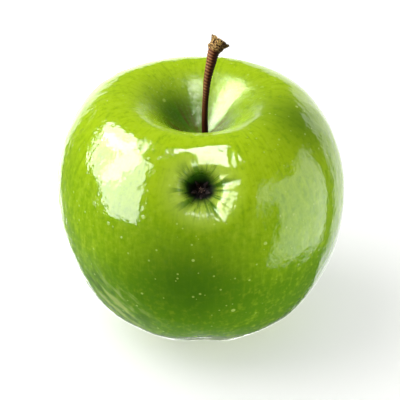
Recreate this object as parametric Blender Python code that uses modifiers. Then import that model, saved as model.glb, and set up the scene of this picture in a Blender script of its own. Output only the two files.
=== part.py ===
"""A green apple standing on the five low lobes round its base.

Units are metres and +Z is up. The floor is z = 0 and the axis of the fruit is the Z axis. The stem
cavity is on top, the calyx dimple opens towards -Y in the front shoulder, and the stem leans to +X
and +Y. Polar angles are measured down from the top of the fruit's axis.
"""

import math

import bmesh
import bpy
from mathutils import Matrix, Vector

# --- Fruit -----------------------------------------------------------------------------------
BODY_RADIUS = 0.0400
EQUATOR_HEIGHT = 0.0380
SQUARENESS = 0.058  # third harmonic of the radius, which makes the sides flatter than a ball's
HEIGHT_WAVES = (0.03952, -0.00168, 0.00232)  # first three cosine terms of the height
CAVITY_FUNNEL = (0.01082, math.radians(24.9))  # depth and polar half-width of the wide part
CAVITY_THROAT = (0.01068, math.radians(14.3))  # the same for the narrow part round the stem
BASIN = (0.0095, math.radians(13.75))  # rise of the hollow in the base, and its half-width
TAPER = 0.00114  # how far the skin is drawn in just above the feet, which rounds the base
TAPER_POLAR = math.radians(149.6)
TAPER_SPREAD = math.radians(9.5)
LOBES = 5
FIRST_FURROW = math.radians(-90)
FURROW_RISE = 0.00127  # how far the furrows between the lobes stand off the floor
FURROW_SHARPNESS = 3  # higher makes the furrows narrower and the lobes broader
FURROW_POLAR = math.radians(151.8)
FURROW_SPREAD = math.radians(17.9)
CREST_WAVE = 0.0003  # the rim of the cavity is higher at its two sides than front and back
CREST_POLAR = math.radians(28)
CREST_SPREAD = math.radians(22)
CREST_DIP = 0.0069  # slope of the crest down towards +X, which fades out at the base
BASE_DRIFT = 0.012  # sideways drift of the base towards +X, per unit of height
FRUIT_SEGMENTS = 60
FRUIT_RINGS = 50

# --- Calyx dimple ----------------------------------------------------------------------------
DIMPLE_POLAR = math.radians(50.7)
DIMPLE_AZIMUTH = math.radians(-89)
DIMPLE_ELEVATION = math.radians(34)
FUNNEL_DEPTH = 0.0036
FUNNEL_RADIUS = 0.0095
PIT_DEPTH = 0.0065
PIT_RADIUS = 0.0042
PLEAT_DEPTH = 0.14  # share by which the funnel is deeper in its furrows than on its pleats
PLEAT_START = 0.0020  # the pleats fade out inside this radius
FIRST_PLEAT_FURROW = math.radians(15)
FINE_RADII = (0.0135, 0.0085)  # inside each of these the skin's mesh is divided once more

# --- Stem ------------------------------------------------------------------------------------
STEM_RADIUS = 0.0010
STEM_SIDES = 3  # bevel resolution of the curve
SOCKET_FLOOR = 0.0141  # above the equator
SOCKET_TOP = 0.0200
CLEARANCE = 0.0003
# Centre line from the socket to the broken end, seen from the equator's centre, and its radius
STEM_LINE = (
    ((0.00125, 0.00028, 0.01445), 0.00092),
    ((0.00125, 0.00028, 0.01960), 0.00085),
    ((0.00117, 0.00060, 0.02470), 0.00078),
    ((0.00155, 0.00200, 0.03165), 0.00088),
    ((0.00190, 0.00300, 0.03500), 0.00105),
    ((0.00285, 0.00460, 0.03920), 0.00138),
    ((0.00374, 0.00600, 0.04227), 0.00170),
    ((0.00445, 0.00668, 0.04335), 0.00215),
    ((0.00545, 0.00750, 0.04460), 0.00285),
)

# --- Dried calyx, in the dimple's own frame, whose +Z points out of the dimple -----------------
SEPALS = 5
SEPAL_RING = 0.00125
SEPAL_FOOT = -0.0090
SEPAL_LENGTH = 0.0030
SEPAL_WIDTH = 0.0012
SEPAL_TIP_WIDTH = 0.25  # share of the full width left at the tip
SEPAL_CUP = 0.0002
SEPAL_THICKNESS = 0.0003
SEPAL_LEAN = math.radians(12)
TUFT_FOOT = -0.0096
TUFT_RADII = (0.00065, 0.00035)
TUFT_HEIGHT = 0.0022
TUFT_SIDES = 12

# --- Colours and roughness -------------------------------------------------------------------
SKIN_GREEN = (0.28, 0.52, 0.01)
STEM_BROWN = (0.10, 0.035, 0.015)
SEPAL_BROWN = (0.045, 0.016, 0.010)
STAMEN_TAN = (0.16, 0.08, 0.04)


def clear_scene():
    for old in list(bpy.data.objects):
        bpy.data.objects.remove(old, do_unlink=True)


def new_collection(name):
    collection = bpy.data.collections.new(name)
    bpy.context.scene.collection.children.link(collection)
    return collection


def new_object(name, data, collection):
    made = bpy.data.objects.new(name, data)
    collection.objects.link(made)
    return made


def mesh_from(bm, name):
    """A smooth-shaded mesh with its faces turned outwards."""
    bmesh.ops.recalc_face_normals(bm, faces=bm.faces)
    mesh = bpy.data.meshes.new(name)
    bm.to_mesh(mesh)
    bm.free()
    mesh.shade_smooth()
    return mesh


def material(name, colour, roughness):
    made = bpy.data.materials.new(name)
    made.use_nodes = True
    shader = made.node_tree.nodes["Principled BSDF"]
    shader.inputs["Base Color"].default_value = (*colour, 1)
    shader.inputs["Roughness"].default_value = roughness
    shader.inputs["Metallic"].default_value = 0
    return made


def bell(distance, spread, power=2):
    """A smooth bump: 1 at distance 0, falling to 1/e at the spread."""
    return math.exp(-((abs(distance) / spread) ** power))


def ring(polar, middle, spread):
    """A smooth band round the fruit: 1 at its middle, and 0 where the fruit's axis meets the skin."""
    return bell(polar - middle, spread) * math.sin(polar) / math.sin(middle)


# --- Fruit -----------------------------------------------------------------------------------
def skin_point(polar, azimuth):
    """The skin in this direction from the equator's centre, before the dimple is pressed in."""
    height = sum(size * math.cos((n + 1) * polar) for n, size in enumerate(HEIGHT_WAVES))
    height -= CAVITY_FUNNEL[0] * bell(polar, CAVITY_FUNNEL[1])
    height -= CAVITY_THROAT[0] * bell(polar, CAVITY_THROAT[1])
    height += BASIN[0] * bell(math.pi - polar, BASIN[1])
    height += TAPER * ring(polar, TAPER_POLAR, TAPER_SPREAD)
    furrow = (0.5 + 0.5 * math.cos(LOBES * (azimuth - FIRST_FURROW))) ** FURROW_SHARPNESS
    height += FURROW_RISE * furrow * ring(polar, FURROW_POLAR, FURROW_SPREAD)
    height += CREST_WAVE * math.cos(2 * azimuth) * ring(polar, CREST_POLAR, CREST_SPREAD)
    radius = math.sin(polar) + SQUARENESS * math.sin(3 * polar)
    radius *= BODY_RADIUS / (1 - SQUARENESS)
    x = radius * math.cos(azimuth)
    height -= CREST_DIP * x * math.cos(polar / 2) ** 2
    return Vector((x - BASE_DRIFT * height, radius * math.sin(azimuth), EQUATOR_HEIGHT + height))


def direction_of(vertex):
    """Polar angle and azimuth of a vertex of the sphere that the skin is mapped from."""
    unit = vertex.co.normalized()
    return math.acos(max(-1.0, min(1.0, unit.z))), math.atan2(unit.y, unit.x)


def dimple_frame():
    """The dimple's frame: its origin on the skin, +Z out along its axis and +X level."""
    out = Vector((math.cos(DIMPLE_AZIMUTH), math.sin(DIMPLE_AZIMUTH), 0)) * math.cos(DIMPLE_ELEVATION)
    out.z = math.sin(DIMPLE_ELEVATION)
    level = Vector((0, 0, 1)).cross(out).normalized()
    turn = Matrix((level, out.cross(level), out)).transposed()
    return Matrix.Translation(skin_point(DIMPLE_POLAR, DIMPLE_AZIMUTH)) @ turn.to_4x4()


def with_dimple(point, frame):
    """The skin's point after the funnel and the pit are pressed in along the dimple's axis."""
    local = frame.inverted() @ point
    if local.z < -BODY_RADIUS / 2:
        return point
    distance = math.hypot(local.x, local.y)
    turn = math.atan2(local.y, local.x)
    pleat = PLEAT_DEPTH * math.cos(LOBES * (turn - FIRST_PLEAT_FURROW)) * min(1, distance / PLEAT_START)
    local.z -= FUNNEL_DEPTH * bell(distance, FUNNEL_RADIUS) * (1 + pleat)
    local.z -= PIT_DEPTH * bell(distance, PIT_RADIUS, 3)
    return frame @ local


def divide_near_dimple(bm, frame, radius):
    """Halves the edges of the unit sphere whose ends map to within the radius of the dimple."""
    near = set()
    for vertex in bm.verts:
        local = frame.inverted() @ skin_point(*direction_of(vertex))
        if local.z > -BODY_RADIUS / 2 and math.hypot(local.x, local.y) < radius:
            near.add(vertex)
    edges = [edge for edge in bm.edges if near.issuperset(edge.verts)]
    bmesh.ops.subdivide_edges(bm, edges=edges, cuts=1, use_grid_fill=True)


def make_fruit(collection, frame):
    bm = bmesh.new()
    bmesh.ops.create_uvsphere(bm, u_segments=FRUIT_SEGMENTS, v_segments=FRUIT_RINGS, radius=1)
    for radius in FINE_RADII:
        divide_near_dimple(bm, frame, radius)
    for vertex in bm.verts:
        vertex.co = with_dimple(skin_point(*direction_of(vertex)), frame)
        vertex.co.z = max(vertex.co.z, 0)  # the lobes end in small flat feet
    fruit = new_object("fruit", mesh_from(bm, "fruit"), collection)
    fruit.data.materials.append(material("apple_skin", SKIN_GREEN, 0.25))
    return fruit


def cut_socket(fruit, cutters):
    """The round hole in the cavity's floor that the stem stands in."""
    (x, y, _), radius = STEM_LINE[0]
    bm = bmesh.new()
    bmesh.ops.create_cone(
        bm,
        cap_ends=True,
        segments=20,
        radius1=radius + CLEARANCE,
        radius2=radius + CLEARANCE,
        depth=SOCKET_TOP - SOCKET_FLOOR,
    )
    cutter = new_object("stem_socket_cutter", mesh_from(bm, "stem_socket_cutter"), cutters)
    cutter.location = (x, y, EQUATOR_HEIGHT + (SOCKET_TOP + SOCKET_FLOOR) / 2)
    cutter.hide_render = True
    cutter.display_type = "WIRE"
    cut = fruit.modifiers.new("stem_socket", "BOOLEAN")
    cut.operation = "DIFFERENCE"
    cut.solver = "EXACT"
    cut.object = cutter


# --- Stem ------------------------------------------------------------------------------------
def make_stem(collection):
    curve = bpy.data.curves.new("stem", "CURVE")
    curve.dimensions = "3D"
    curve.resolution_u = 3
    curve.bevel_depth = STEM_RADIUS
    curve.bevel_resolution = STEM_SIDES
    curve.use_fill_caps = True
    spline = curve.splines.new("BEZIER")
    spline.bezier_points.add(len(STEM_LINE) - 1)
    for point, (place, radius) in zip(spline.bezier_points, STEM_LINE):
        point.co = place
        point.radius = radius / STEM_RADIUS
        point.handle_left_type = "AUTO"
        point.handle_right_type = "AUTO"
    curve.materials.append(material("stem_wood", STEM_BROWN, 0.6))
    stem = new_object("stem", curve, collection)
    stem.location.z = EQUATOR_HEIGHT
    return stem


# --- Dried calyx -----------------------------------------------------------------------------
def sepal_mesh():
    """A narrow pointed leaf with a cupped section, standing on its foot at the origin."""
    bm = bmesh.new()
    bmesh.ops.create_grid(bm, x_segments=4, y_segments=6, size=1)
    for vertex in bm.verts:
        across, along = vertex.co.x, (vertex.co.y + 1) / 2
        width = SEPAL_TIP_WIDTH + (1 - SEPAL_TIP_WIDTH) * math.sqrt(1 - along)
        bow = SEPAL_CUP * (across * width) ** 2
        vertex.co = Vector((across * width * SEPAL_WIDTH / 2, -bow, along * SEPAL_LENGTH))
    return mesh_from(bm, "sepal")


def make_sepals(collection, calyx):
    mesh = sepal_mesh()
    mesh.materials.append(material("dried_sepal", SEPAL_BROWN, 0.8))
    for number in range(SEPALS):
        turn = FIRST_PLEAT_FURROW + (number + 0.5) * math.tau / SEPALS
        sepal = new_object(f"sepal_{number + 1}", mesh, collection)
        sepal.parent = calyx
        outward = Vector((math.cos(turn), math.sin(turn), 0))
        sepal.location = outward * SEPAL_RING + Vector((0, 0, SEPAL_FOOT))
        sepal.rotation_euler = (SEPAL_LEAN, 0, turn + math.pi / 2)
        shell = sepal.modifiers.new("thickness", "SOLIDIFY")
        shell.thickness = SEPAL_THICKNESS
        shell.offset = 0


def make_tuft(collection, calyx):
    """The withered stamens, drawn together into one blunt tuft."""
    bm = bmesh.new()
    bmesh.ops.create_cone(
        bm,
        cap_ends=True,
        segments=TUFT_SIDES,
        radius1=TUFT_RADII[0],
        radius2=TUFT_RADII[1],
        depth=TUFT_HEIGHT,
    )
    tuft = new_object("stamen_tuft", mesh_from(bm, "stamen_tuft"), collection)
    tuft.data.materials.append(material("withered_stamens", STAMEN_TAN, 0.8))
    tuft.parent = calyx
    tuft.location.z = TUFT_FOOT + TUFT_HEIGHT / 2


def main():
    clear_scene()
    parts = new_collection("green_apple")
    cutters = new_collection("cutters")
    frame = dimple_frame()
    calyx = new_object("calyx", None, parts)
    calyx.matrix_world = frame
    fruit = make_fruit(parts, frame)
    cut_socket(fruit, cutters)
    make_stem(parts)
    make_sepals(parts, calyx)
    make_tuft(parts, calyx)


main()
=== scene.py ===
"""Looks for the green apple: its skin, its ringed stem and its dried calyx, in soft studio light.

Units are metres and +Z is up, as in the CAD frame. Lengths in shader nodes are in millimetres.
They come from the object's own coordinates or from float attributes stored on each mesh.
"""

import math

import bmesh
import bpy
import numpy as np
from mathutils import Matrix, Vector


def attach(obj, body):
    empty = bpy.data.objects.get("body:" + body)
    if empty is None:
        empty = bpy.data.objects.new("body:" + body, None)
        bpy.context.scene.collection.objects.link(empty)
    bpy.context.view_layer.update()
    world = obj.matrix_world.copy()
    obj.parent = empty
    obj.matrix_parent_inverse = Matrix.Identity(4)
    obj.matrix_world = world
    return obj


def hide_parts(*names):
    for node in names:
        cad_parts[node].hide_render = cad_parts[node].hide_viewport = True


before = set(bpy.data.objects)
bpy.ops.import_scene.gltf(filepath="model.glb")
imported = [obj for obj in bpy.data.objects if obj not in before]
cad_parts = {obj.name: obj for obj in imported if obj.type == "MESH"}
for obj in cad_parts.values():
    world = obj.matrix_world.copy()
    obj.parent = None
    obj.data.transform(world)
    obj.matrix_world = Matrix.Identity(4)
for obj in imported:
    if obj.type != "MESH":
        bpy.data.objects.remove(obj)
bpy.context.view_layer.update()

# --- The fruit's shape, as in the CAD model ----------------------------------------------------
BODY_RADIUS = 0.0400
EQUATOR_HEIGHT = 0.0380
MIDDLE = (0, 0, EQUATOR_HEIGHT)
SQUARENESS = 0.058
HEIGHT_WAVES = (0.03952, -0.00168, 0.00232)
CAVITY_FUNNEL = (0.01082, math.radians(24.9))
CAVITY_THROAT = (0.01068, math.radians(14.3))
BASIN = (0.0095, math.radians(13.75))
TAPER = 0.00114
TAPER_POLAR = math.radians(149.6)
TAPER_SPREAD = math.radians(9.5)
LOBES = 5
FIRST_FURROW = math.radians(-90)
FURROW_RISE = 0.00127
FURROW_SHARPNESS = 3
FURROW_POLAR = math.radians(151.8)
FURROW_SPREAD = math.radians(17.9)
CREST_WAVE = 0.0003
CREST_POLAR = math.radians(28)
CREST_SPREAD = math.radians(22)
CREST_DIP = 0.0069
BASE_DRIFT = 0.012
DIMPLE_POLAR = math.radians(50.7)
DIMPLE_AZIMUTH = math.radians(-89)
DIMPLE_ELEVATION = math.radians(34)
FUNNEL_DEPTH = 0.0036
FUNNEL_RADIUS = 0.0095
PIT_DEPTH = 0.0065
PIT_RADIUS = 0.0042
FIRST_PLEAT_FURROW = math.radians(15)

# --- The stem and the dried calyx, as in the CAD model ------------------------------------------
STEM_LINE = (
    ((0.00125, 0.00028, 0.01445), 0.00092),
    ((0.00125, 0.00028, 0.01960), 0.00085),
    ((0.00117, 0.00060, 0.02470), 0.00078),
    ((0.00155, 0.00200, 0.03165), 0.00088),
    ((0.00190, 0.00300, 0.03500), 0.00105),
    ((0.00285, 0.00460, 0.03920), 0.00138),
    ((0.00374, 0.00600, 0.04227), 0.00170),
    ((0.00445, 0.00668, 0.04335), 0.00215),
    ((0.00545, 0.00750, 0.04460), 0.00285),
)
SEPALS = 5
SEPAL_RING = 0.00125
SEPAL_FOOT = -0.0090
SEPAL_LENGTH = 0.0030
SEPAL_WIDTH = 0.0012
SEPAL_LEAN = math.radians(12)
TUFT_FOOT = -0.0096
TUFT_HEIGHT = 0.0022

# --- Fine shape of the skin --------------------------------------------------------------------
SKIN_SEGMENTS = 288
SKIN_RINGS = 200
FINE_RADII = (0.0150, 0.0100)  # inside each of these the skin's mesh is divided once more
# Wavelength, height and number of the waves that make the skin uneven
LUMPS = ((0.022, 0.00010, 18), (0.009, 0.00003, 24), (0.0045, 0.000014, 36))
# The star round the pit: each furrow's turn in the dimple, its reach, its depth and its half-width
STAR = (
    (math.radians(15), 0.0100, 0.00040, math.radians(6)),
    (math.radians(87), 0.0062, 0.00045, math.radians(12)),
    (math.radians(159), 0.0066, 0.00060, math.radians(11)),
    (math.radians(-129), 0.0078, 0.00085, math.radians(9)),
    (math.radians(-57), 0.0098, 0.00090, math.radians(7)),
)
STAR_START = 0.0022
LIP_RISE = 0.0012  # the skin swells in a ring of five pads round the star
LIP_RADIUS = 0.0125
LIP_SPREAD = 0.0040
LIP_TURN = math.radians(-25)  # the pads are fullest on this side
# A flatter patch between the dimple and the cavity, in the dimple's frame: its middle, its slopes,
# its half-sizes and how far it fades out beyond them
FACET_MIDDLE = (0.0030, 0.0085)
FACET_SLOPES = (-0.041, -0.365)
FACET_HALF = (0.0036, 0.0018)
FACET_EDGE = 0.0030
PUCKERS = 27
PUCKER_DEPTH = 0.00010
PUCKER_RADIUS = 0.0058
PUCKER_SPREAD = 0.0026
CAVITY_RIBS = 34
CAVITY_RIB_DEPTH = 0.00003
CAVITY_WALL = (math.radians(15), math.radians(7))  # where the cavity's ribs are, and their spread
CALM_CAVITY = math.radians(24)  # the unevenness fades out inside this
CALM_BASE = (math.radians(138), math.radians(150))  # and from the first of these to the second
FAR_FROM_DIMPLE = 0.03  # the dimple has no effect on the skin's colour from here on
MAP_MARGIN = 0.01

# Painted shade: spots painted a deeper green where the fruit is in shade: middle, radius and
# strength
PAINTED_SHADE_SPOTS = (
    ((-0.004, -0.039, 0.034), 0.0175, 0.90),
    ((0.027, -0.009, 0.067), 0.012, 0.75),
    ((-0.007, 0.004, 0.061), 0.009, 0.92),
)
STREAK_PATCH = (-0.0245, -0.0262, 0.0195)  # low on the fruit's -X side, painted reflection in pale streaks and painted shade in dark blotches
STREAK_PATCH_RADIUS = 0.0125
STREAK_WAY = (0.735, -0.253, -0.627)  # the painted streaks run this way

# --- Fine shape of the stem --------------------------------------------------------------------
STEM_RINGS = 430
STEM_SIDES = 60
RIDGE_SPACING = 0.00080
RIDGE_HEIGHT = 0.00013
RIDGES_START = 0.0120  # along the stem from its foot, where the first ridges show
RIDGES_FULL = 0.0200
FIBRE_DEPTH = 0.00004
KNUCKLE_LENGTH = 0.0034  # the corky end, where the stem broke from the tree
KNUCKLE_BLEND = 0.0007
COLLAR_RISE = 0.00035
WAIST_DEPTH = 0.00018
KNUCKLE_RIBS = 11
KNUCKLE_RIB_DEPTH = 0.00010
RIM_TEETH = 0.00009
RIM_LENGTH = 0.0012
CAP_RINGS = 16
CAP_DISH = 0.0006
CRUMB_HEIGHT = 0.00012

# --- Fine shape of the calyx -------------------------------------------------------------------
SEPAL_THICKNESS = 0.00014
SEPAL_CURL = (0.0009, 0.0004)  # how far a fully curled tip leans back and drops
FILAMENTS = 15
FILAMENT_RADIUS = 0.00007
TUFT_RADIUS = 0.00065
ANTHER_RADIUS = 0.00017
ANTHER_SHARE = 0.8  # of the filaments have kept their bead

# --- Colours, in linear light ------------------------------------------------------------------
CAVITY_GREEN = (0.43, 0.64, 0.006)
SHOULDER_GREEN = (0.29, 0.50, 0.003)
SIDE_GREEN_AND_SHADE = (0.12, 0.29, 0.0015)
PALE_BASE_AND_SHEEN = (0.36, 0.52, 0.04)
DIMPLE_GREEN = (0.42, 0.64, 0.004)
PALE_STREAK = (0.50, 0.70, 0.03)
DARK_STREAK = (0.12, 0.30, 0.001)
DARK_MOTTLE = (0.12, 0.31, 0.001)
PAINTED_SHADE_GREEN = (0.046, 0.140, 0.001)
PALE_HALO_AND_GLEAM = (0.60, 0.76, 0.12)
STREAK_SHADE = (0.045, 0.110, 0.004)
STREAK_SHEEN = (0.46, 0.54, 0.14)
SPECK_PALE = (0.62, 0.78, 0.16)
THROAT_GREEN_AND_SHADE = (0.04, 0.16, 0.002)
RUSSET = (0.13, 0.05, 0.012)
FURROW_GREEN = (0.04, 0.14, 0.001)
RAY_GREEN = (0.07, 0.20, 0.003)
PIT_SHADE_GREEN = (0.026, 0.100, 0.003)
PIT_BLACK_AND_SHADE = (0.003, 0.006, 0.001)
PIT_BROWN = (0.020, 0.005, 0.003)
BARK_BROWNS = ((0.009, 0.002, 0.001), (0.080, 0.011, 0.003))
CREST_HIGHLIGHT_BROWNS = ((0.15, 0.030, 0.008), (0.70, 0.33, 0.10))
LIT_SIDE_TAN = (0.42, 0.13, 0.040)
CORK_BROWNS = ((0.028, 0.010, 0.004), (0.78, 0.47, 0.15))
WOOD_BROWNS = ((0.05, 0.022, 0.008), (0.78, 0.52, 0.21))
SHADED_BARK = (0.012, 0.004, 0.002)
SEPAL_BROWNS = ((0.008, 0.002, 0.001), (0.036, 0.008, 0.005))
SEPAL_PATCH = (0.060, 0.022, 0.012)
STALK_BROWNS = ((0.05, 0.018, 0.012), (0.22, 0.10, 0.055))
BEAD_TANS = ((0.22, 0.10, 0.07), (0.62, 0.42, 0.32))
FLOOR_GREY = (0.60, 0.60, 0.59)
IOR = 1.45
MM_PER_DEGREE = 0.7  # of polar angle, along the skin

# --- Camera and light --------------------------------------------------------------------------
CAMERA_ELEVATION = math.radians(32.32)
CAMERA_DISTANCE = 0.600
CAMERA_LENS = 193.6
CAMERA_SENSOR = 36
CAMERA_DROP = 0.00159  # how far below the fruit's middle the camera aims
CAMERA_SIDE = 0.00013  # and how far to its -X side
WORLD_LIGHT = 0.10
GLOW_BELOW = 0.45  # what the gloss mirrors from below and behind
GLOW_DIRECTION = (-0.35, 0.45, -0.82)
GLOW_EDGES = (0.78, 0.97)  # cosines of the angles at which the glow starts and is full
FLOOR_GLOW = 0.44  # the floor is a light table, which keeps its shadows pale
# Lights that only shine on the fruit: name, direction, distance, (width, height) and radiance
LAMPS = (
    ("key", (-0.62, 0.08, 0.78), 1.0, (1.0, 1.0), 2.6),
    ("sky", (0, 0, 1), 1.2, (3.0, 3.0), 0.5),
    ("back_light", (0.25, 0.97, 0.38), 1.3, (2.2, 1.0), 1.1),
    ("right_fill", (0.90, -0.42, 0.12), 0.9, (0.8, 0.6), 1.6),
)
# Lights that only show in its gloss, with the same columns and a shape
CARDS = (
    ("back_left_card", (-0.30, 0.91, -0.29), 1.0, (0.73, 1.08), 2.4, "RECTANGLE"),
    ("back_right_card", (0.427, 0.866, -0.28), 1.0, (0.86, 1.12), 1.3, "RECTANGLE"),
    ("right_card", (0.99, -0.09, -0.12), 0.7, (0.60, 0.74), 2.2, "RECTANGLE"),
    ("right_card_edge", (0.99, -0.09, -0.12), 0.72, (0.72, 0.88), 2.0, "RECTANGLE"),
    ("left_window", (-0.810, -0.404, 0.425), 0.5, (0.354, 0.59), 19, "RECTANGLE"),
    ("left_window_side", (-0.830, 0.010, 0.558), 0.5, (0.40, 0.52), 13, "ELLIPSE"),
    ("left_window_top", (-0.573, 0.252, 0.780), 0.5, (0.29, 0.29), 17, "ELLIPSE"),
    ("top_window", (0.09, -0.24, 0.967), 0.6, (0.15, 0.17), 32, "RECTANGLE"),
)

rng = np.random.default_rng(11)


def bell(distance, spread, power=2):
    """A smooth bump: 1 at distance 0, falling to 1/e at the spread."""
    return np.exp(-((np.abs(distance) / spread) ** power))


def ring(polar, middle, spread):
    return bell(polar - middle, spread) * np.sin(polar) / math.sin(middle)


def smooth(value, low, high):
    """0 below low, 1 above high, with a smooth step between them."""
    share = np.clip((value - low) / (high - low), 0, 1)
    return share * share * (3 - 2 * share)


def lumps(points):
    """A gentle unevenness over the skin, from random waves that run in all directions."""
    total = np.zeros(len(points))
    for wavelength, size, count in LUMPS:
        for _ in range(count):
            way = rng.normal(size=3)
            way *= math.tau / wavelength / np.linalg.norm(way) * rng.uniform(0.7, 1.3)
            total += size * math.sqrt(2 / count) * np.cos(points @ way + rng.uniform(0, math.tau))
    return total


def ribs(turn, count):
    """Uneven ridges round an axis: waves of nearby counts, which drift in and out of step."""
    total = np.zeros_like(turn)
    for part in (0.6, 1.0, 1.5):
        total += np.cos(round(count * part) * turn + rng.uniform(0, math.tau)) / (1 + part)
    return total / 1.5


# --- Fruit -------------------------------------------------------------------------------------
def skin_points(polar, azimuth):
    """The CAD model's skin in these directions, before the dimple is pressed in."""
    height = sum(size * np.cos((n + 1) * polar) for n, size in enumerate(HEIGHT_WAVES))
    height = height - CAVITY_FUNNEL[0] * bell(polar, CAVITY_FUNNEL[1])
    height = height - CAVITY_THROAT[0] * bell(polar, CAVITY_THROAT[1])
    height = height + BASIN[0] * bell(math.pi - polar, BASIN[1])
    height = height + TAPER * ring(polar, TAPER_POLAR, TAPER_SPREAD)
    furrow = (0.5 + 0.5 * np.cos(LOBES * (azimuth - FIRST_FURROW))) ** FURROW_SHARPNESS
    height = height + FURROW_RISE * furrow * ring(polar, FURROW_POLAR, FURROW_SPREAD)
    height = height + CREST_WAVE * np.cos(2 * azimuth) * ring(polar, CREST_POLAR, CREST_SPREAD)
    radius = np.sin(polar) + SQUARENESS * np.sin(3 * polar)
    radius = radius * BODY_RADIUS / (1 - SQUARENESS)
    x = radius * np.cos(azimuth)
    height = height - CREST_DIP * x * np.cos(polar / 2) ** 2
    y = radius * np.sin(azimuth)
    return np.column_stack((x - BASE_DRIFT * height, y, EQUATOR_HEIGHT + height))


def spoke(turn, length):
    """A level vector of this length, at this turn about +Z."""
    return Vector((math.cos(turn), math.sin(turn), 0)) * length


def dimple_frame():
    """The dimple's frame: its origin on the skin, +Z out along its axis and +X level."""
    out = spoke(DIMPLE_AZIMUTH, math.cos(DIMPLE_ELEVATION))
    out.z = math.sin(DIMPLE_ELEVATION)
    level = Vector((0, 0, 1)).cross(out).normalized()
    turn = Matrix((level, out.cross(level), out)).transposed()
    middle = skin_points(np.array([DIMPLE_POLAR]), np.array([DIMPLE_AZIMUTH]))[0]
    return Matrix.Translation(middle) @ turn.to_4x4()


DIMPLE = dimple_frame()


def seen_from_dimple(points):
    """The points in the dimple's frame, with their distance and turn about its axis."""
    back = np.array(DIMPLE.inverted())
    local = points @ back[:3, :3].T + back[:3, 3]
    distance = np.hypot(local[:, 0], local[:, 1])
    distance = np.where(local[:, 2] < -BODY_RADIUS / 2, 1.0, distance)
    return local, distance, np.arctan2(local[:, 1], local[:, 0])


def angles_of(unit):
    unit = unit / np.linalg.norm(unit, axis=1)[:, None]
    return np.arccos(np.clip(unit[:, 2], -1, 1)), np.arctan2(unit[:, 1], unit[:, 0])


def vertex_places(bm):
    return np.array([vertex.co for vertex in bm.verts])


def fine_unit_sphere():
    """The sphere that the skin is mapped from, with a finer mesh where the dimple will be."""
    bm = bmesh.new()
    bmesh.ops.create_uvsphere(bm, u_segments=SKIN_SEGMENTS, v_segments=SKIN_RINGS, radius=1)
    for radius in FINE_RADII:
        _, distance, _ = seen_from_dimple(skin_points(*angles_of(vertex_places(bm))))
        near = set(np.array(bm.verts)[distance < radius])
        edges = [edge for edge in bm.edges if near.issuperset(edge.verts)]
        bmesh.ops.subdivide_edges(bm, edges=edges, cuts=1, use_grid_fill=True)
    mesh = bpy.data.meshes.new("skin")
    bm.to_mesh(mesh)
    bm.free()
    return mesh


def star_furrows(distance, turn):
    """Depth of the star's furrows here, and how far inside one a point is, from 0 to 1."""
    depth, inside = np.zeros_like(turn), np.zeros_like(turn)
    for middle, reach, deepest, half_width in STAR:
        off = np.abs((turn - middle + math.pi) % math.tau - math.pi)
        along = smooth(distance, STAR_START, 2 * STAR_START)
        along = along * (1 - smooth(distance, 0.45 * reach, 1.15 * reach))
        share = bell(off, half_width) * along
        depth += deepest * share
        inside = np.maximum(inside, share)
    return depth, inside


def above_facet(local, distance):
    """How far the skin stands above the flatter patch, faded out round its edge."""
    x, y = local[:, 0] - FACET_MIDDLE[0], local[:, 1] - FACET_MIDDLE[1]
    middle = local[np.argmin(np.hypot(x, y) + (distance > 0.5)), 2]
    plane = middle + FACET_SLOPES[0] * x + FACET_SLOPES[1] * y
    share = 1 - smooth(np.abs(x), FACET_HALF[0], FACET_HALF[0] + FACET_EDGE)
    share = share * (1 - smooth(np.abs(y), FACET_HALF[1], FACET_HALF[1] + FACET_EDGE))
    return share * (local[:, 2] - plane) * (distance < 0.5)


def pressed_in(points):
    """The skin after the calyx dimple is pressed in, with its pads, its star and its puckers."""
    local, distance, turn = seen_from_dimple(points)
    sink = FUNNEL_DEPTH * bell(distance, FUNNEL_RADIUS)
    sink += PIT_DEPTH * bell(distance, PIT_RADIUS, 3)
    depth, furrow = star_furrows(distance, turn)
    sink += depth
    fullness = 0.5 + 0.5 * np.cos(turn - LIP_TURN)
    sink -= LIP_RISE * fullness * (1 - 0.6 * furrow) * bell(distance - LIP_RADIUS, LIP_SPREAD)
    sink += PUCKER_DEPTH * ribs(turn, PUCKERS) * bell(distance - PUCKER_RADIUS, PUCKER_SPREAD)
    local[:, 2] -= sink
    local[:, 2] -= above_facet(local, distance)
    out = np.array(DIMPLE)
    return local @ out[:3, :3].T + out[:3, 3], distance, turn, furrow


def store(mesh, name, values):
    """Stores one number a vertex under this name, for the material to read."""
    attribute = mesh.attributes.new(name, "FLOAT", "POINT")
    attribute.data.foreach_set("value", np.asarray(values, np.float32))


def wrap_skin(mesh, polar, azimuth):
    """A map for the baked texture: azimuth across it, its seam at the back, and height up it."""
    layer = mesh.uv_layers.new(name="OFBake")
    corner = np.empty(len(mesh.loops), np.int32)
    mesh.loops.foreach_get("vertex_index", corner)
    across = ((azimuth - math.pi / 2) / math.tau % 1)[corner]
    up = (1 - polar / math.pi)[corner]
    first = np.empty(len(mesh.polygons), np.int32)
    mesh.polygons.foreach_get("loop_start", first)
    count = np.diff(np.append(first, len(corner)))
    low = np.repeat(np.minimum.reduceat(across, first), count)
    high = np.repeat(np.maximum.reduceat(across, first), count)
    across = np.where((high - low > 0.5) & (across < 0.5), across + 1, across)
    across = MAP_MARGIN + across * (1 - 3 * MAP_MARGIN)  # a face on the seam runs past its end
    up = MAP_MARGIN + up * (1 - 2 * MAP_MARGIN)
    layer.uv.foreach_set("vector", np.column_stack((across, up)).astype(np.float32).ravel())


def painted_shade_share(points):
    """How much painted shade deepens the skin's green here, from 0 to 1."""
    pale = np.ones(len(points))
    for middle, radius, strength in PAINTED_SHADE_SPOTS:
        away = np.linalg.norm(points - np.array(middle), axis=1)
        pale *= 1 - strength * bell(away, radius)
    return 1 - pale


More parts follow.
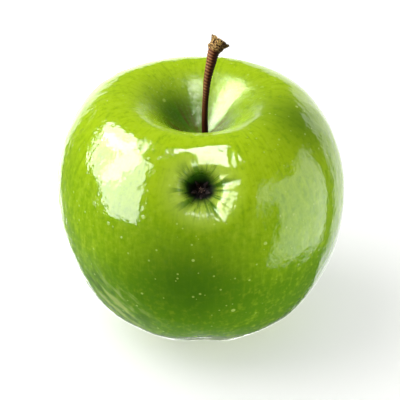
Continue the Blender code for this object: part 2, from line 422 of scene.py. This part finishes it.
def unevenness(points, polar, azimuth):
    """How far the skin rises here: gentle lumps, and fine ribs down the cavity's wall."""
    raised = lumps(points) * (1 - bell(polar, CALM_CAVITY, 3)) * (1 - smooth(polar, *CALM_BASE))
    wall = bell(polar - CAVITY_WALL[0], CAVITY_WALL[1])
    return raised + CAVITY_RIB_DEPTH * ribs(azimuth, CAVITY_RIBS) * wall


def streak_places(points):
    """How much of the painted streak patch is here, and its place along and across the streaks in
    millimetres.
    """
    share = bell(np.linalg.norm(points - np.array(STREAK_PATCH), axis=1), STREAK_PATCH_RADIUS, 4)
    way = np.array(STREAK_WAY)
    across = np.cross(way, np.array(STREAK_PATCH) - np.array(MIDDLE))
    across /= np.linalg.norm(across)
    return share, points @ way * 1000, points @ across * 1000


def make_skin():
    mesh = fine_unit_sphere()
    unit = np.empty(len(mesh.vertices) * 3, np.float32)
    mesh.vertices.foreach_get("co", unit)
    polar, azimuth = angles_of(unit.reshape(-1, 3).astype(float))
    points = skin_points(polar, azimuth)
    outward = points - np.array(MIDDLE)
    outward /= np.linalg.norm(outward, axis=1)[:, None]
    points += outward * unevenness(points, polar, azimuth)[:, None]
    points, distance, turn, furrow = pressed_in(points)
    points[:, 2] = np.maximum(points[:, 2], 0)
    mesh.vertices.foreach_set("co", points.astype(np.float32).ravel())
    mesh.update()
    mesh.shade_smooth()
    wrap_skin(mesh, polar, azimuth)
    painted_streaks, streak_along, streak_across = streak_places(points)
    store(mesh, "dimple_mm", np.minimum(distance, FAR_FROM_DIMPLE) * 1000)
    store(mesh, "ray_x", np.cos(turn))
    store(mesh, "ray_y", np.sin(turn))
    store(mesh, "furrow", furrow)
    store(mesh, "polar", np.degrees(polar))
    store(mesh, "painted_shade", painted_shade_share(points))
    store(mesh, "painted_streaks", painted_streaks)
    store(mesh, "streak_along", streak_along)
    store(mesh, "streak_across", streak_across)
    add_piece("apple_skin_surface", mesh, skin_material(), "apple_skin", "fruit")


# --- Stem --------------------------------------------------------------------------------------
def through(knots, values, steps):
    """A smooth curve through the values at the knots, with slopes taken from their neighbours."""
    slopes = np.gradient(values, knots, axis=0)
    span = np.clip(np.searchsorted(knots, steps, side="right") - 1, 0, len(knots) - 2)
    width = (knots[span + 1] - knots[span])[:, None]
    t = (steps - knots[span])[:, None] / width
    start, end = values[span], values[span + 1]
    rise = end - start
    leave, arrive = slopes[span] * width, slopes[span + 1] * width
    square, cube = 3 * rise - 2 * leave - arrive, leave + arrive - 2 * rise
    return start + t * leave + t * t * square + t**3 * cube


def stem_frames(steps, places):
    """Two unit vectors across the stem at each step, carried along it without twisting."""
    along = np.gradient(places, steps, axis=0)
    along /= np.linalg.norm(along, axis=1)[:, None]
    side, sides = np.array((1.0, 0, 0)), []
    for way in along:
        side = side - way * side.dot(way)
        side /= np.linalg.norm(side)
        sides.append(side)
    sides = np.array(sides)
    return along, sides, np.cross(along, sides)


def stem_radius(step, length, base, turn):
    """The stem's radius with ridges, fibres and corky knuckle, and its crest and cork masks."""
    drift = 0.00016 * np.sin(turn + 1.3) + 0.00006 * np.sin(3 * turn)
    drift = drift + 0.00022 * np.sin(step / 0.0023)
    wave = (0.5 + 0.5 * np.cos(math.tau * (step + drift) / RIDGE_SPACING)) ** 2
    knuckle_start = length - KNUCKLE_LENGTH
    ringed = smooth(step, RIDGES_START, RIDGES_FULL)
    ringed = ringed * (1 - smooth(step, knuckle_start, knuckle_start + KNUCKLE_BLEND))
    uneven = 0.75 + 0.25 * np.cos(2 * turn + step / 0.0011)
    radius = base + RIDGE_HEIGHT * ringed * uneven * (wave - 0.3)
    fibres = np.cos(9 * turn + step / 0.004) + 0.6 * np.cos(14 * turn - step / 0.0027)
    radius += FIBRE_DEPTH * fibres * (1 - 0.7 * ringed)

    share = (step - knuckle_start) / KNUCKLE_LENGTH  # 0 where the knuckle starts and 1 at its end
    cork = smooth(share, -0.05, 0.12)
    teeth = 0.5 + 0.5 * np.abs(np.sin(4.5 * turn + 0.8)) - 0.3 * np.cos(3 * turn)
    teeth = teeth * (0.65 - 0.35 * np.cos(turn))
    radius += COLLAR_RISE * teeth * bell(share - 0.24 - 0.05 * np.cos(5 * turn), 0.12)
    radius -= WAIST_DEPTH * bell(share - 0.55, 0.16)
    groove = np.cos(KNUCKLE_RIBS * turn + 1.7 * np.sin(2 * turn))
    groove = groove + 0.6 * np.cos(17 * turn + step / 0.0004)
    radius += KNUCKLE_RIB_DEPTH * groove * cork * (0.4 + 0.6 * smooth(share, 0.3, 1.0))
    return radius, ringed * wave, cork


def stem_cap(rim, middle, way, turn):
    """Rings across the stem's broken end, dished and crumbled, from its rim to its middle."""
    inward = np.linspace(1, 0, CAP_RINGS + 1)[1:-1][:, None]
    dish = CAP_DISH * (inward**2 - 1) * smooth(1 - inward, 0, 0.25)
    crumbs = CRUMB_HEIGHT * np.cos(39 * inward + 4 * turn) * np.cos(7 * turn) * inward
    spokes = rim - middle
    level = spokes @ way
    flat = spokes - level[:, None] * way
    rise = level[None] * inward**3 + dish + crumbs
    return middle + flat[None] * inward[..., None] + way * rise[..., None]


def tube_faces(count):
    """Quads between this many rings, and fans to the foot and tip vertices that follow them."""
    lower, upper = np.arange(count - 1) * STEM_SIDES, np.arange(1, count) * STEM_SIDES
    here, after = np.arange(STEM_SIDES), (np.arange(STEM_SIDES) + 1) % STEM_SIDES
    corners = [start[:, None] + turn for start, turn in (
        (lower, here), (lower, after), (upper, after), (upper, here)
    )]
    quads = np.stack(corners, -1).reshape(-1, 4).tolist()
    foot, tip, edge = count * STEM_SIDES, count * STEM_SIDES + 1, (count - 1) * STEM_SIDES
    pairs = list(zip(here.tolist(), after.tolist()))
    fans = [(foot, b, a) for a, b in pairs] + [(tip, edge + a, edge + b) for a, b in pairs]
    return quads + fans


def make_stem():
    places = np.array([place for place, _ in STEM_LINE])
    radii = np.array([[radius] for _, radius in STEM_LINE])
    knots = np.append(0, np.cumsum(np.linalg.norm(np.diff(places, axis=0), axis=1)))
    length = knots[-1]
    steps = np.linspace(0, length, STEM_RINGS)
    line = through(knots, places, steps)
    along, side, other = stem_frames(steps, line)
    turn = np.linspace(0, math.tau, STEM_SIDES, endpoint=False)[None, :]
    step = np.repeat(steps[:, None], STEM_SIDES, 1)
    radius, crest, cork = stem_radius(step, length, through(knots, radii, steps), turn)
    spokes = side[:, None] * np.cos(turn)[..., None] + other[:, None] * np.sin(turn)[..., None]
    teeth = RIM_TEETH * (np.cos(6 * turn + 2.2) + 0.7 * np.cos(11 * turn))
    teeth = teeth * smooth(step, length - RIM_LENGTH, length)
    tube = line[:, None] + spokes * radius[..., None] + along[:, None] * teeth[..., None]
    cap = stem_cap(tube[-1], line[-1], along[-1], turn)
    rings = np.concatenate((tube, cap))
    ends = np.array([line[0], line[-1] - along[-1] * CAP_DISH])
    points = np.concatenate((rings.reshape(-1, 3), ends)) + np.array(MIDDLE)
    mesh = bpy.data.meshes.new("stem")
    mesh.from_pydata(points.tolist(), [], tube_faces(len(rings)))
    mesh.shade_smooth()

    def on_rings(tube_values, cap_value):
        cap_values = np.full(cap.shape[0] * STEM_SIDES, cap_value)
        values = np.concatenate((tube_values.ravel(), cap_values))
        return np.append(values, (tube_values[0, 0], cap_value))

    store(mesh, "crest", on_rings(crest, 0))
    store(mesh, "cork", on_rings(cork, 1))
    store(mesh, "along_mm", on_rings(step * 1000, length * 1000))
    store(mesh, "cap", on_rings(smooth(step, length - 0.0003, length), 1))
    store(mesh, "turn_x", on_rings(np.cos(turn) * np.ones_like(step), 0))
    store(mesh, "turn_y", on_rings(np.sin(turn) * np.ones_like(step), 0))
    add_piece("ringed_stem", mesh, stem_material(), "stem_wood", "stem")


# --- Dried calyx -------------------------------------------------------------------------------
def sepal_mesh(number):
    """A withered leaf, standing on its foot: cupped, wrinkled lengthwise and curled at its tip."""
    bm = bmesh.new()
    bmesh.ops.create_grid(bm, x_segments=12, y_segments=26, size=1)
    curl = rng.uniform(0.5, 1.0)
    wrinkle = rng.uniform(0, math.tau)
    for vertex in bm.verts:
        across, along = vertex.co.x, (vertex.co.y + 1) / 2
        width = 0.12 + 0.88 * math.sqrt(1 - along) * (0.75 + 0.25 * math.sin(math.pi * along))
        bow = SEPAL_WIDTH * (0.30 * (across * width) ** 2 + 0.10 * math.cos(5 * across + wrinkle))
        vein = 0.00008 * math.exp(-((across / 0.12) ** 2))
        fold = 0.00003 * math.cos(9 * across + 3 * along) - vein
        lean = curl * SEPAL_CURL[0] * along**3
        drop = curl * SEPAL_CURL[1] * along**4
        x = across * width * SEPAL_WIDTH / 2
        vertex.co = Vector((x, -bow + fold - lean, along * SEPAL_LENGTH - drop))
    mesh = bpy.data.meshes.new(f"sepal_{number}")
    bm.to_mesh(mesh)
    bm.free()
    mesh.shade_smooth()
    return mesh


def make_sepals():
    material = sepal_material()
    for number in range(1, SEPALS + 1):
        turn = FIRST_PLEAT_FURROW + (number - 0.5) * math.tau / SEPALS
        mesh = sepal_mesh(number)
        place = Matrix.Translation(spoke(turn, SEPAL_RING) + Vector((0, 0, SEPAL_FOOT)))
        lean = SEPAL_LEAN + rng.uniform(-0.08, 0.08)
        stand = Matrix.Rotation(turn + math.pi / 2, 4, "Z") @ Matrix.Rotation(lean, 4, "X")
        mesh.transform(DIMPLE @ place @ stand)
        name, node = f"withered_sepal_{number}", f"sepal_{number}"
        piece = add_piece(name, mesh, material, "dried_calyx", node)
        shell = piece.modifiers.new("thickness", "SOLIDIFY")
        shell.thickness = SEPAL_THICKNESS
        shell.offset = 0


def add_bead(bm, middle, radius, way):
    """A small long bead, as on the end of a stamen."""
    turn = way.to_track_quat("Z", "Y").to_matrix().to_4x4()
    made = bmesh.ops.create_uvsphere(bm, u_segments=10, v_segments=8, radius=radius)["verts"]
    bmesh.ops.transform(bm, matrix=Matrix.Diagonal((0.7, 0.7, 1.3, 1)), verts=made)
    bmesh.ops.transform(bm, matrix=Matrix.Translation(middle) @ turn, verts=made)
    return made


def make_stamens():
    """Thin withered filaments that lean apart from one foot, most with a bead left on top."""
    bm = bmesh.new()
    beads = set()
    for number in range(FILAMENTS):
        turn = number * 2.4 + rng.uniform(-0.3, 0.3)
        spread = TUFT_RADIUS * math.sqrt((number + 0.5) / FILAMENTS)
        foot = spoke(turn, spread * 0.6) + Vector((0, 0, TUFT_FOOT))
        height = TUFT_HEIGHT * rng.uniform(0.75, 1.05)
        top = foot + spoke(turn + 0.5, spread * 0.8) + Vector((0, 0, height))
        way = (top - foot).normalized()
        made = bmesh.ops.create_cone(
            bm, cap_ends=True, segments=8, depth=height,
            radius1=FILAMENT_RADIUS * 1.5, radius2=FILAMENT_RADIUS,
        )["verts"]
        stand = way.to_track_quat("Z", "Y").to_matrix().to_4x4()
        bmesh.ops.transform(bm, matrix=Matrix.Translation((foot + top) / 2) @ stand, verts=made)
        if rng.uniform() < ANTHER_SHARE:
            beads.update(add_bead(bm, top, ANTHER_RADIUS * rng.uniform(0.7, 1.1), way))
    bm.verts.ensure_lookup_table()
    anther = [vertex in beads for vertex in bm.verts]
    mesh = bpy.data.meshes.new("stamens")
    bm.to_mesh(mesh)
    bm.free()
    mesh.transform(DIMPLE)
    mesh.shade_smooth()
    store(mesh, "anther", anther)
    add_piece("withered_stamens_tuft", mesh, stamen_material(), "withered_stamens", "stamen_tuft")


# --- Node helpers ------------------------------------------------------------------------------
class Nodes:
    """Short names for making a material's nodes and linking them."""

    def __init__(self, name):
        self.material = bpy.data.materials.new(name)
        self.material.use_nodes = True
        self.tree = self.material.node_tree
        self.shader = self.tree.nodes["Principled BSDF"]

    def add(self, kind, **settings):
        node = self.tree.nodes.new(kind)
        for key, value in settings.items():
            setattr(node, key, value)
        return node

    def put(self, socket, value):
        if isinstance(value, bpy.types.NodeSocket):
            self.tree.links.new(value, socket)
        elif isinstance(value, tuple) and len(value) == 3 and socket.type == "RGBA":
            socket.default_value = (*value, 1)
        else:
            socket.default_value = value

    def set(self, **values):
        """Sets the shader's own sockets, named with underscores for spaces."""
        for key, value in values.items():
            self.put(self.shader.inputs[key.replace("_", " ")], value)

    def math(self, operation, first, second=0.0, third=0.0, clamp=False):
        node = self.add("ShaderNodeMath", operation=operation, use_clamp=clamp)
        for socket, value in zip(node.inputs, (first, second, third)):
            self.put(socket, value)
        return node.outputs[0]

    def ramp(self, value, low, high, start=0.0, end=1.0):
        """Maps low..high to start..end smoothly, and holds the ends outside it."""
        node = self.add("ShaderNodeMapRange", interpolation_type="SMOOTHSTEP")
        names = ("Value", "From Min", "From Max", "To Min", "To Max")
        for name, number in zip(names, (value, low, high, start, end)):
            self.put(node.inputs[name], number)
        return node.outputs["Result"]

    def mix(self, share, first, second):
        node = self.add("ShaderNodeMix", data_type="RGBA")
        self.put(node.inputs["Factor"], share)
        sockets = [s for s in node.inputs if s.type == "RGBA"]
        self.put(sockets[0], first)
        self.put(sockets[1], second)
        return next(s for s in node.outputs if s.type == "RGBA")

    def place(self):
        """The object's own coordinates in millimetres."""
        coordinates = self.add("ShaderNodeTexCoord")
        mapping = self.add("ShaderNodeMapping")
        self.put(mapping.inputs["Vector"], coordinates.outputs["Object"])
        mapping.inputs["Scale"].default_value = (1000, 1000, 1000)
        return mapping.outputs["Vector"]

    def joined(self, *numbers):
        node = self.add("ShaderNodeCombineXYZ")
        for socket, number in zip(node.inputs, numbers):
            self.put(socket, number)
        return node.outputs[0]

    def scaled(self, value, factor):
        return self.math("MULTIPLY", value, factor)

    def meridian(self, turns, rise_mm):
        """Coordinates for streaks that run from cavity to base, each about rise_mm long."""
        split = self.add("ShaderNodeSeparateXYZ")
        self.put(split.inputs[0], self.place())
        x, y, _ = split.outputs
        level = self.add("ShaderNodeVectorMath", operation="NORMALIZE")
        self.put(level.inputs[0], self.joined(x, y, 0.0))
        wide = self.add("ShaderNodeVectorMath", operation="SCALE")
        self.put(wide.inputs[0], level.outputs[0])
        wide.inputs["Scale"].default_value = turns
        both = self.add("ShaderNodeVectorMath", operation="ADD")
        self.put(both.inputs[0], wide.outputs[0])
        along = self.scaled(self.attribute("polar"), MM_PER_DEGREE / rise_mm)
        self.put(both.inputs[1], self.joined(0.0, 0.0, along))
        return both.outputs[0]

    def rays(self, turns, rise):
        """Coordinates for rays out of the dimple's pit."""
        x, y = (self.scaled(self.attribute(name), turns) for name in ("ray_x", "ray_y"))
        return self.joined(x, y, self.scaled(self.attribute("dimple_mm"), rise))

    def lengthwise(self, turns, rise_mm):
        """Coordinates for fibres along the stem."""
        x, y = (self.scaled(self.attribute(name), turns) for name in ("turn_x", "turn_y"))
        return self.joined(x, y, self.scaled(self.attribute("along_mm"), 1 / rise_mm))

    def noise(self, vector, size, detail=2.0, roughness=0.5):
        """Fractal noise, about 0 to 1, whose features are this many millimetres across."""
        node = self.add("ShaderNodeTexNoise")
        self.put(node.inputs["Vector"], vector)
        for name, value in (("Scale", 1 / size), ("Detail", detail), ("Roughness", roughness)):
            node.inputs[name].default_value = value
        return node.outputs["Fac"]

    def attribute(self, name):
        return self.add("ShaderNodeAttribute", attribute_name=name).outputs["Fac"]

    def bump(self, height, distance, normal=None):
        """Raises the surface by the height, whose 1 is this many millimetres."""
        node = self.add("ShaderNodeBump")
        node.inputs["Strength"].default_value = 1.0
        node.inputs["Distance"].default_value = distance / 1000
        self.put(node.inputs["Height"], height)
        if normal is not None:
            self.put(node.inputs["Normal"], normal)
        return node.outputs["Normal"]


def dots(nodes, vector, spacing, radius, share):
    """Round dots: one in some cells of a random grid, of uneven size. 1 in a dot, 0 outside."""
    cell = nodes.add("ShaderNodeTexVoronoi")
    nodes.put(cell.inputs["Vector"], vector)
    cell.inputs["Scale"].default_value = 1 / spacing
    split = nodes.add("ShaderNodeSeparateColor")
    nodes.put(split.inputs[0], cell.outputs["Color"])
    size = nodes.math("MULTIPLY", split.outputs[0], radius / spacing)
    inside = nodes.math("DIVIDE", cell.outputs["Distance"], nodes.math("ADD", size, 0.02))
    shape = nodes.ramp(inside, 0.55, 1.0, 1.0, 0.0)
    chosen = nodes.math("LESS_THAN", split.outputs[1], share)
    return nodes.math("MULTIPLY", shape, chosen)


def skin_greens(nodes, place, polar, reach, broad_streak):
    """Yellow-green round the cavity, deeper green down the sides and paler round the base, partly
    painted light.
    """
    fine_streak = nodes.noise(nodes.meridian(34, 9), 1, 3, 0.6)
    cloud = nodes.noise(place, 24, 2)
    level = nodes.math("ADD", polar, nodes.math("MULTIPLY_ADD", cloud, 30, -15))
    level = nodes.math("ADD", level, nodes.math("MULTIPLY_ADD", broad_streak, 24, -12))
    colour = nodes.mix(nodes.ramp(level, 40, 74), CAVITY_GREEN, SHOULDER_GREEN)
    # down the sides: partly the skin's own deeper green, partly painted shade
    colour = nodes.mix(nodes.ramp(level, 78, 112), colour, SIDE_GREEN_AND_SHADE)
    # paler round the base: partly the skin's own, partly a painted reflection of the pale floor
    colour = nodes.mix(nodes.ramp(level, 138, 160), colour, PALE_BASE_AND_SHEEN)
    warm = nodes.ramp(reach, 6, 15, 1.0, 0.0)
    colour = nodes.mix(nodes.scaled(warm, 0.7), colour, DIMPLE_GREEN)

    pale = nodes.ramp(fine_streak, 0.50, 0.74)
    pale = nodes.math("MULTIPLY", pale, nodes.ramp(polar, 92, 118, 0.30, 0.10))
    colour = nodes.mix(pale, colour, PALE_STREAK)
    dark = nodes.ramp(fine_streak, 0.50, 0.28)
    colour = nodes.mix(nodes.scaled(dark, 0.30), colour, DARK_STREAK)
    mottle = nodes.noise(place, 1.7, 4, 0.65)
    colour = nodes.mix(nodes.ramp(mottle, 0.47, 0.74, 0.0, 0.42), colour, PALE_STREAK)
    colour = nodes.mix(nodes.ramp(mottle, 0.50, 0.28, 0.0, 0.42), colour, DARK_MOTTLE)
    # painted shade: a deeper green in the spots where the fruit is in shade
    colour = nodes.mix(nodes.attribute("painted_shade"), colour, PAINTED_SHADE_GREEN)
    # paler round the dimple: partly the skin's own paler ring, partly a painted gleam
    pale_ring_and_gleam = nodes.ramp(nodes.math("MULTIPLY_ADD", cloud, 4, reach), 7, 15, 0.50, 0.0)
    return nodes.mix(pale_ring_and_gleam, colour, PALE_HALO_AND_GLEAM)


def painted_streaks(nodes, colour):
    """Painted shade in dark blotches and painted reflection in pale streaks, drawn out one way."""
    share = nodes.attribute("painted_streaks")
    along = nodes.scaled(nodes.attribute("streak_along"), 1 / 9)
    across = nodes.scaled(nodes.attribute("streak_across"), 1 / 2.4)
    streak = nodes.noise(nodes.joined(across, along, 0.0), 1, 2, 0.5)
    streak_shade = nodes.math("MULTIPLY", nodes.ramp(streak, 0.47, 0.36, 0.0, 0.65), share)
    colour = nodes.mix(streak_shade, colour, STREAK_SHADE)
    streak_sheen = nodes.math("MULTIPLY", nodes.ramp(streak, 0.50, 0.64, 0.0, 0.55), share)
    return nodes.mix(streak_sheen, colour, STREAK_SHEEN)


def russeted(nodes, colour, polar, broad_streak):
    """The cavity's throat: a darker green, partly painted shade in the recess, with brown streaks
    towards the stem.
    """
    throat = nodes.ramp(polar, 5, 17, 1.0, 0.0)
    russet = nodes.math("MULTIPLY", throat, nodes.ramp(broad_streak, 0.42, 0.62))
    # partly painted shade: darker green down in the cavity's throat
    colour = nodes.mix(nodes.scaled(throat, 0.65), colour, THROAT_GREEN_AND_SHADE)
    russet = nodes.math("MULTIPLY", russet, nodes.ramp(polar, 7, 13, 0.70, 0.18))
    return nodes.mix(russet, colour, RUSSET)


def starred(nodes, colour, reach):
    """The star: dark rays run out from the pit, painted black with shade, longest down its
    furrows.
    """
    furrow = nodes.attribute("furrow")
    ray = nodes.noise(nodes.rays(4.6, 0.10), 1, 3, 0.6)
    up = nodes.attribute("ray_y")
    colour = nodes.mix(nodes.scaled(furrow, 0.70), colour, FURROW_GREEN)
    lines = nodes.ramp(ray, 0.53, 0.41)
    lines = nodes.math("MULTIPLY", lines, nodes.ramp(reach, 5.0, 10.0, 0.85, 0.0))
    colour = nodes.mix(lines, colour, RAY_GREEN)
    ragged = nodes.math("MULTIPLY_ADD", ray, -5.0, 2.5)
    # painted shade: dark green round the pit, reaching further on its upper and left side
    shade = nodes.math("ADD", nodes.math("MULTIPLY_ADD", up, -1.3, reach), ragged)
    shade = nodes.math("MULTIPLY_ADD", nodes.attribute("ray_x"), 0.9, shade)
    colour = nodes.mix(nodes.ramp(shade, 2.2, 5.6, 1.0, 0.0), colour, PIT_SHADE_GREEN)
    # painted shade: the pit is painted black, over a dark russet core
    oval = nodes.math("MULTIPLY_ADD", nodes.math("MULTIPLY", up, up), 0.45, 1.0)
    edge = nodes.math("SUBTRACT", nodes.math("MULTIPLY", reach, oval), furrow)
    edge = nodes.math("MULTIPLY_ADD", ragged, 0.6, edge)
    colour = nodes.mix(nodes.ramp(edge, 2.6, 4.5, 1.0, 0.0), colour, PIT_BLACK_AND_SHADE)
    return nodes.mix(nodes.ramp(reach, 1.2, 2.4, 1.0, 0.0), colour, PIT_BROWN)


def skin_roughness(nodes, place, polar, reach):
    """Waxy, with a few dull dots, and drier in the pit, round the star and in the cavity."""
    roughness = nodes.ramp(nodes.noise(place, 0.9, 3), 0.3, 0.7, 0.07, 0.13)
    duller = (
        nodes.scaled(dots(nodes, place, 1.3, 0.8, 0.18), 0.12),
        nodes.ramp(reach, 2.5, 4.5, 0.35, 0.0),
        nodes.ramp(reach, 7.0, 10.5, 0.15, 0.0),
        nodes.ramp(polar, 18, 27, 0.16, 0.0),
    )
    for part in duller:
        roughness = nodes.math("ADD", roughness, part)
    return roughness


def skin_material():
    nodes = Nodes("apple_skin")
    place = nodes.place()
    reach = nodes.attribute("dimple_mm")
    polar = nodes.attribute("polar")
    broad_streak = nodes.noise(nodes.meridian(9, 22), 1, 3, 0.55)
    large = dots(nodes, place, 4.6, 0.75, 0.40)
    small = dots(nodes, place, 1.9, 0.42, 0.50)
    spots = nodes.math("MAXIMUM", large, nodes.scaled(small, 0.8))

    colour = painted_streaks(nodes, skin_greens(nodes, place, polar, reach, broad_streak))
    colour = nodes.mix(nodes.scaled(spots, 0.55), colour, SPECK_PALE)
    colour = russeted(nodes, colour, polar, broad_streak)
    colour = starred(nodes, colour, reach)

    dents = nodes.bump(nodes.noise(place, 3.0, 2, 0.55), 0.19)
    pores = nodes.bump(nodes.noise(place, 1.1, 2), 0.030, normal=dents)
    raised = nodes.bump(spots, 0.030, normal=pores)
    roughness = skin_roughness(nodes, place, polar, reach)
    nodes.set(Base_Color=colour, Roughness=roughness, Normal=raised)
    nodes.set(IOR=IOR, Specular_IOR_Level=0.32)
    return nodes.material


def stem_material():
    nodes = Nodes("stem_bark")
    cork = nodes.attribute("cork")
    fibre = nodes.noise(nodes.lengthwise(4.5, 3.0), 1, 4, 0.65)
    fleck = nodes.noise(nodes.place(), 0.42, 4, 0.65)

    colour = nodes.mix(nodes.ramp(fibre, 0.35, 0.68), *BARK_BROWNS)
    lit_side = nodes.ramp(nodes.attribute("turn_x"), 0.35, -0.75)  # painted light: paler on its -X side, where the light falls
    # painted highlight: the ridge crests are paler, palest on the lit -X side
    crest = nodes.scaled(nodes.attribute("crest"), 0.80)
    colour = nodes.mix(crest, colour, nodes.mix(lit_side, *CREST_HIGHLIGHT_BROWNS))
    # painted light: a tan wash up the lit -X side, from 4 mm past the foot
    tan = nodes.math("MULTIPLY", nodes.ramp(nodes.attribute("along_mm"), 4, 14), lit_side)
    colour = nodes.mix(nodes.scaled(tan, 0.30), colour, LIT_SIDE_TAN)
    colour = nodes.mix(cork, colour, nodes.mix(nodes.ramp(fleck, 0.44, 0.57), *CORK_BROWNS))
    wood = nodes.mix(nodes.ramp(fleck, 0.43, 0.56), *WOOD_BROWNS)
    colour = nodes.mix(nodes.attribute("cap"), colour, wood)
    dark_side = nodes.ramp(nodes.attribute("turn_x"), -0.15, 0.55, 0.0, 0.86)
    colour = nodes.mix(dark_side, colour, SHADED_BARK)

    roughness = nodes.ramp(fibre, 0.3, 0.7, 0.34, 0.52)
    roughness = nodes.math("ADD", roughness, nodes.scaled(cork, 0.3), clamp=True)
    crumbs = nodes.bump(fleck, 0.10, normal=nodes.bump(fibre, 0.05))
    nodes.set(Base_Color=colour, Roughness=roughness, Normal=crumbs)
    nodes.set(IOR=IOR, Specular_IOR_Level=0.05)
    return nodes.material


def sepal_material():
    nodes = Nodes("dried_sepal")
    fleck = nodes.noise(nodes.place(), 0.30, 4, 0.6)
    patch = nodes.noise(nodes.place(), 1.1, 2)
    colour = nodes.mix(nodes.ramp(fleck, 0.35, 0.68), *SEPAL_BROWNS)
    colour = nodes.mix(nodes.ramp(patch, 0.55, 0.75), colour, SEPAL_PATCH)
    nodes.set(Base_Color=colour, Roughness=nodes.ramp(fleck, 0.3, 0.7, 0.55, 0.8))
    nodes.set(Normal=nodes.bump(fleck, 0.04), Specular_IOR_Level=0.35)
    return nodes.material


def stamen_material():
    nodes = Nodes("withered_stamen")
    fleck = nodes.noise(nodes.place(), 0.20, 3, 0.6)
    stalk = nodes.mix(fleck, *STALK_BROWNS)
    bead = nodes.mix(fleck, *BEAD_TANS)
    colour = nodes.mix(nodes.attribute("anther"), stalk, bead)
    nodes.set(Base_Color=colour, Roughness=nodes.ramp(fleck, 0.3, 0.7, 0.5, 0.8))
    nodes.set(Normal=nodes.bump(fleck, 0.02), Specular_IOR_Level=0.4)
    return nodes.material


# --- Putting pieces in the frame ---------------------------------------------------------------
def add_piece(name, mesh, material, slot, *replaced):
    mesh.materials.append(material)
    piece = bpy.data.objects.new(name, mesh)
    bpy.context.scene.collection.objects.link(piece)
    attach(piece, "root")
    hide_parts(*replaced)
    return piece


# --- Stage -------------------------------------------------------------------------------------
def make_floor():
    bm = bmesh.new()
    bmesh.ops.create_grid(bm, x_segments=1, y_segments=1, size=3)
    mesh = bpy.data.meshes.new("floor")
    bm.to_mesh(mesh)
    bm.free()
    floor = bpy.data.objects.new("floor", mesh)
    bpy.context.scene.collection.objects.link(floor)
    nodes = Nodes("pale_floor")
    nodes.set(Base_Color=FLOOR_GREY, Roughness=0.9)
    nodes.set(Emission_Color=(1, 1, 1), Emission_Strength=FLOOR_GLOW)
    floor.data.materials.append(nodes.material)
    floor.visible_glossy = False


def softbox(name, direction, distance, size, radiance, shape="RECTANGLE", in_gloss=False):
    """A flat light that faces the fruit from this direction. Size is (width, height).

    It either shines on the fruit or shows in its gloss, never both.
    """
    light = bpy.data.lights.new(name, "AREA")
    light.shape = shape
    light.size, light.size_y = size
    light.energy = radiance * math.pi * size[0] * size[1]
    lamp = bpy.data.objects.new(name, light)
    bpy.context.scene.collection.objects.link(lamp)
    way = Vector(direction).normalized()
    lamp.location = Vector(MIDDLE) + way * distance
    lamp.rotation_euler = way.to_track_quat("Z", "Y").to_euler()
    lamp.visible_camera = False
    lamp.visible_diffuse = not in_gloss
    lamp.visible_glossy = in_gloss


def make_world():
    """A pale surround, brighter where the gloss mirrors what is below and behind the fruit."""
    world = bpy.data.worlds.new("studio")
    world.use_nodes = True
    nodes, links = world.node_tree.nodes, world.node_tree.links
    background = nodes["Background"]
    background.inputs["Color"].default_value = (1, 1, 1, 1)
    near_glow = nodes.new("ShaderNodeVectorMath")
    near_glow.operation = "DOT_PRODUCT"
    near_glow.inputs[1].default_value = Vector(GLOW_DIRECTION).normalized()
    directions = nodes.new("ShaderNodeTexCoord")
    links.new(directions.outputs["Generated"], near_glow.inputs[0])
    strength = nodes.new("ShaderNodeMapRange")
    links.new(near_glow.outputs["Value"], strength.inputs["Value"])
    names = ("From Min", "From Max", "To Min", "To Max")
    for name, value in zip(names, (*GLOW_EDGES, WORLD_LIGHT, GLOW_BELOW)):
        strength.inputs[name].default_value = value
    links.new(strength.outputs["Result"], background.inputs["Strength"])
    bpy.context.scene.world = world


def make_lights():
    for lamp in LAMPS:
        softbox(*lamp)
    for card in CARDS:
        softbox(*card, in_gloss=True)


def make_camera():
    camera = bpy.data.objects.new("camera", bpy.data.cameras.new("camera"))
    bpy.context.scene.collection.objects.link(camera)
    camera.data.lens = CAMERA_LENS
    camera.data.sensor_width = CAMERA_SENSOR
    camera.data.clip_start = 0.01
    toward = Vector((0, -math.cos(CAMERA_ELEVATION), math.sin(CAMERA_ELEVATION)))
    up = Vector((0, math.sin(CAMERA_ELEVATION), math.cos(CAMERA_ELEVATION)))
    aim = Vector((-CAMERA_SIDE, 0, EQUATOR_HEIGHT)) - up * CAMERA_DROP
    camera.location = aim + toward * CAMERA_DISTANCE
    camera.rotation_euler = toward.to_track_quat("Z", "Y").to_euler()
    bpy.context.scene.camera = camera


make_camera()
make_skin()
make_stem()
make_sepals()
make_stamens()
make_floor()
make_world()
make_lights()
bpy.context.scene.view_settings.view_transform = "Standard"
